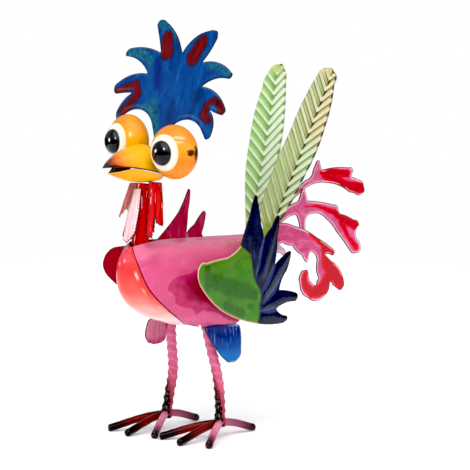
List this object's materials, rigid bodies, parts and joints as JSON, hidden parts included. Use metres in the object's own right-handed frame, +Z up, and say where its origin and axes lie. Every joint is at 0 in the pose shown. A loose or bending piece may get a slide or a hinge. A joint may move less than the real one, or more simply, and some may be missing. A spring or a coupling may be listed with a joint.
{
  "type": "garden ornament",
  "caption": "Rooster garden ornament of cut and dished painted sheet metal, with a jagged crest, bulging eyes, flat wings, tail plumes and curls, on ribbed rod legs.",
  "frame": {"origin": "on the ground, under the middle of the ornament's bounding box", "axes": "+Z up, the rooster faces -Y and its left side is +X"},
  "size_m": [0.1598, 0.388, 0.4053],
  "materials": {
    "crest_blue": "glossy blue enamel with teal tips and dark red patches",
    "eye_orange": "glossy orange enamel",
    "eye_white": "cream enamel",
    "pupil_black": "high gloss black",
    "beak_yellow": "glossy yellow enamel shading to red and black at the tip",
    "neck_red": "glossy red enamel",
    "hackle_coral": "coral enamel",
    "hackle_blush": "pale pink enamel",
    "breast_coral": "coral enamel fading to pale pink at the bottom",
    "body_pink": "rose pink enamel with a crimson patch",
    "wing_green": "leaf green enamel, navy on the feathers and crimson inside the far one",
    "thigh_blue": "glossy blue enamel",
    "thigh_pink": "brushed rose pink enamel",
    "leg_pink": "rose pink enamel, dark spray at the ankles",
    "toe_oxblood": "glossy oxblood enamel with black tips",
    "feather_green": "pale green enamel with whitish raised ribs",
    "curl_pink": "pink enamel with red ends"
  },
  "bodies": {
    "root": {"body_shell_left": "body_pink", "body_shell_right": "body_pink", "wing_left": "wing_green", "wing_right": "wing_green", "thigh_left": "thigh_blue", "thigh_right": "thigh_pink", "tail_feather_left": "feather_green", "tail_feather_right": "feather_green", "breast_panel": "breast_coral", "leg_left": "leg_pink", "leg_right": "leg_pink", "toe_left_inner": "toe_oxblood", "toe_left_middle": "toe_oxblood", "toe_left_outer": "toe_oxblood", "toe_left_hind": "toe_oxblood", "toe_right_inner": "toe_oxblood", "toe_right_middle": "toe_oxblood", "toe_right_outer": "toe_oxblood", "toe_right_hind": "toe_oxblood", "eye_bowl_left": "eye_orange", "eye_bowl_right": "eye_orange", "eye_white_left": "eye_white", "eye_white_right": "eye_white", "pupil_left": "pupil_black", "pupil_right": "pupil_black", "upper_beak": "beak_yellow", "lower_beak": "beak_yellow", "crest": "crest_blue", "neck": "neck_red", "hackle_left": "neck_red", "hackle_back": "neck_red", "hackle_right": "hackle_coral", "hackle_front": "hackle_blush", "tail_curl_upper": "curl_pink", "tail_curl_middle": "curl_pink", "tail_curl_lower": "curl_pink", "tail_curl_inner": "curl_pink"}
  },
  "joints": []
}
